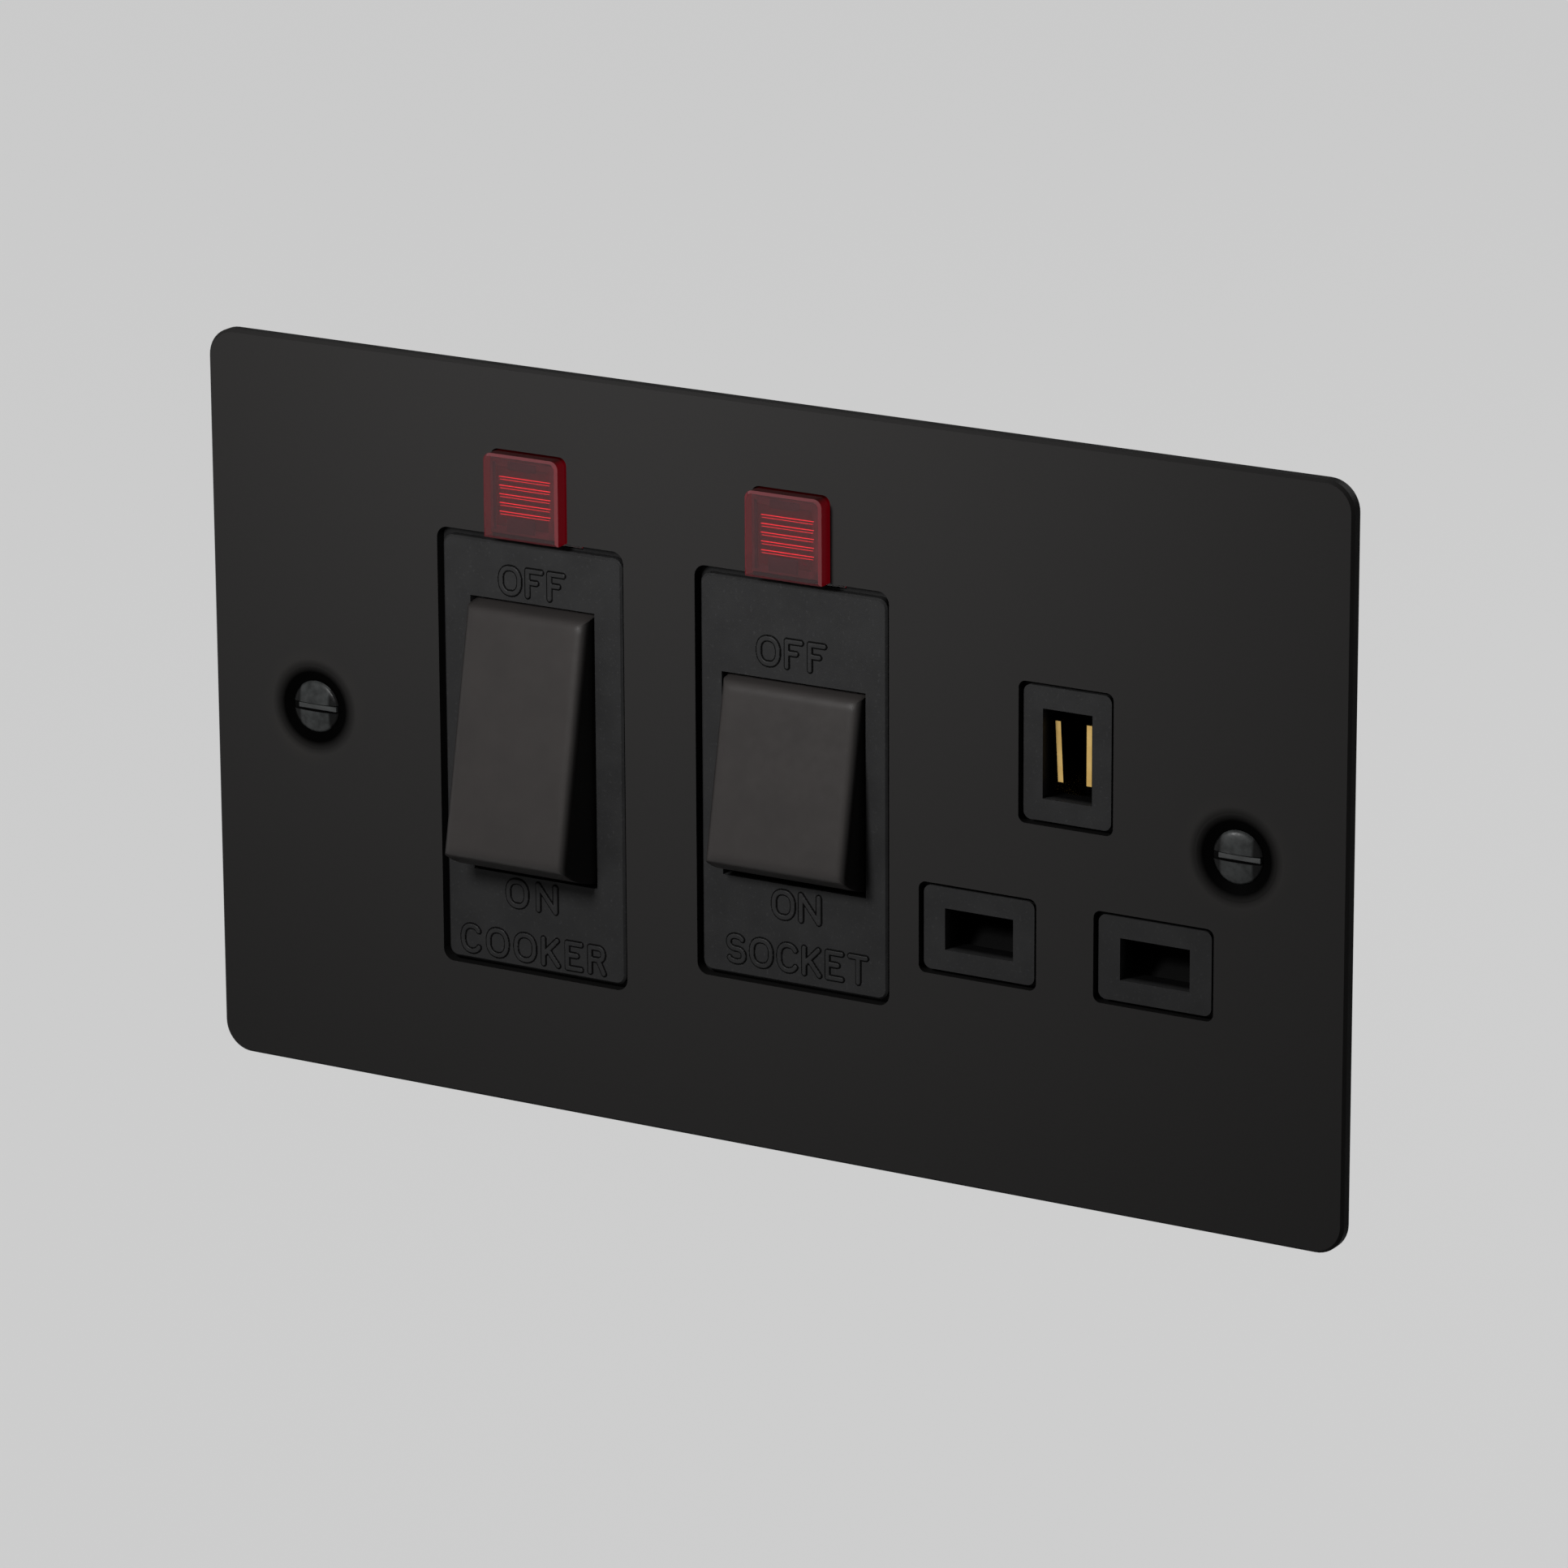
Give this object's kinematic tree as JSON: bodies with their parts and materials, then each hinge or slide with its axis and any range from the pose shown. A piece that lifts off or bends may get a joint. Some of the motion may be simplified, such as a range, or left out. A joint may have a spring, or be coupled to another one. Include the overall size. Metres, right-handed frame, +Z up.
{
  "type": "cooker control unit",
  "caption": "Black wall plate with a large cooker switch, a switched socket outlet and two red indicator lamps, with terminals behind.",
  "frame": {"origin": "midway between the two fixing screws on the plate's back face, which is the wall's surface", "axes": "+X to the right seen from the front, +Y into the wall, +Z up"},
  "size_m": [0.148, 0.0374, 0.088],
  "materials": {
    "plate_black": "matt fine texture",
    "screw_black": "satin",
    "lens_red": "gloss",
    "insert_black": "fine grain",
    "rocker_black": "satin",
    "base_plastic": "matt",
    "shutter_plastic": "satin",
    "brass": "bright",
    "spring_steel": "drawn",
    "screw_steel": "plated",
    "plunger_nylon": "satin",
    "lamp_glass": "clear",
    "resistor_body": "lacquer"
  },
  "bodies": {
    "unit": {"front_plate": "plate_black", "fixing_screws": "screw_black", "cooker_lens": "lens_red", "socket_lens": "lens_red", "cooker_front": "insert_black", "socket_front": "insert_black", "cooker_base": "base_plastic", "socket_base": "base_plastic", "cooker_feed_live": "brass", "cooker_feed_neutral": "brass", "cooker_load_live": "brass", "cooker_load_neutral": "brass", "socket_feed_live": "brass", "socket_feed_neutral": "brass", "socket_load_live": "brass", "socket_load_neutral": "brass", "earth_contact": "brass", "shutter_spring": "spring_steel", "cooker_lamp": "lamp_glass", "cooker_resistor": "resistor_body", "socket_lamp": "lamp_glass", "socket_resistor": "resistor_body", "base_screws": "screw_steel", "terminal_screws": "screw_steel"},
    "cooker_rocker": {"cooker_rocker": "rocker_black", "cooker_spring_live": "spring_steel", "cooker_spring_neutral": "spring_steel"},
    "cooker_plunger_live": {"cooker_plunger_live": "plunger_nylon"},
    "cooker_arm_live": {"cooker_arm_live": "brass"},
    "cooker_plunger_neutral": {"cooker_plunger_neutral": "plunger_nylon"},
    "cooker_arm_neutral": {"cooker_arm_neutral": "brass"},
    "socket_rocker": {"socket_rocker": "rocker_black", "socket_spring_live": "spring_steel", "socket_spring_neutral": "spring_steel"},
    "socket_plunger_live": {"socket_plunger_live": "plunger_nylon"},
    "socket_arm_live": {"socket_arm_live": "brass"},
    "socket_plunger_neutral": {"socket_plunger_neutral": "plunger_nylon"},
    "socket_arm_neutral": {"socket_arm_neutral": "brass"},
    "shutter": {"shutter": "shutter_plastic"}
  },
  "joints": [
    {"name": "cooker_rocker_tip", "type": "hinge", "parent": "unit", "child": "cooker_rocker", "pos_m": [-0.0304, 0.0016, 0], "axis": [1, 0, 0], "range_deg": [0, 23]},
    {"name": "cooker_arm_live_tip", "type": "hinge", "parent": "unit", "child": "cooker_arm_live", "pos_m": [-0.0304, 0.014, 0], "axis": [1, 0, 0], "range_deg": [-18, 0]},
    {"name": "cooker_plunger_live_slide", "type": "slide", "parent": "cooker_rocker", "child": "cooker_plunger_live", "axis": [0, -0.9799, 0.1994], "range_m": [0, 0.0008], "stiffness_N_per_m": 400, "springref_m": -0.003, "deforming": ["cooker_spring_live"]},
    {"name": "cooker_arm_neutral_tip", "type": "hinge", "parent": "unit", "child": "cooker_arm_neutral", "pos_m": [-0.0304, 0.014, 0], "axis": [1, 0, 0], "range_deg": [-18, 0]},
    {"name": "cooker_plunger_neutral_slide", "type": "slide", "parent": "cooker_rocker", "child": "cooker_plunger_neutral", "axis": [0, -0.9799, 0.1994], "range_m": [0, 0.0008], "stiffness_N_per_m": 400, "springref_m": -0.003, "deforming": ["cooker_spring_neutral"]},
    {"name": "socket_rocker_tip", "type": "hinge", "parent": "unit", "child": "socket_rocker", "pos_m": [0.0041, 0.0016, 0], "axis": [1, 0, 0], "range_deg": [0, 23]},
    {"name": "socket_arm_live_tip", "type": "hinge", "parent": "unit", "child": "socket_arm_live", "pos_m": [0.0041, 0.014, 0], "axis": [1, 0, 0], "range_deg": [-18, 0]},
    {"name": "socket_plunger_live_slide", "type": "slide", "parent": "socket_rocker", "child": "socket_plunger_live", "axis": [0, -0.9799, 0.1994], "range_m": [0, 0.0008], "stiffness_N_per_m": 400, "springref_m": -0.003, "deforming": ["socket_spring_live"]},
    {"name": "socket_arm_neutral_tip", "type": "hinge", "parent": "unit", "child": "socket_arm_neutral", "pos_m": [0.0041, 0.014, 0], "axis": [1, 0, 0], "range_deg": [-18, 0]},
    {"name": "socket_plunger_neutral_slide", "type": "slide", "parent": "socket_rocker", "child": "socket_plunger_neutral", "axis": [0, -0.9799, 0.1994], "range_m": [0, 0.0008], "stiffness_N_per_m": 400, "springref_m": -0.003, "deforming": ["socket_spring_neutral"]},
    {"name": "shutter_slide", "type": "slide", "parent": "unit", "child": "shutter", "axis": [0, 0, -1], "range_m": [0, 0.0062], "stiffness_N_per_m": 120, "springref_m": -0.004, "deforming": ["shutter_spring"]}
  ],
  "couplings": [
    {"joint": "cooker_arm_live_tip", "follows": "cooker_rocker_tip", "ratio": -0.7826},
    {"joint": "cooker_arm_neutral_tip", "follows": "cooker_rocker_tip", "ratio": -0.7826},
    {"joint": "socket_arm_live_tip", "follows": "socket_rocker_tip", "ratio": -0.7826},
    {"joint": "socket_arm_neutral_tip", "follows": "socket_rocker_tip", "ratio": -0.7826}
  ]
}
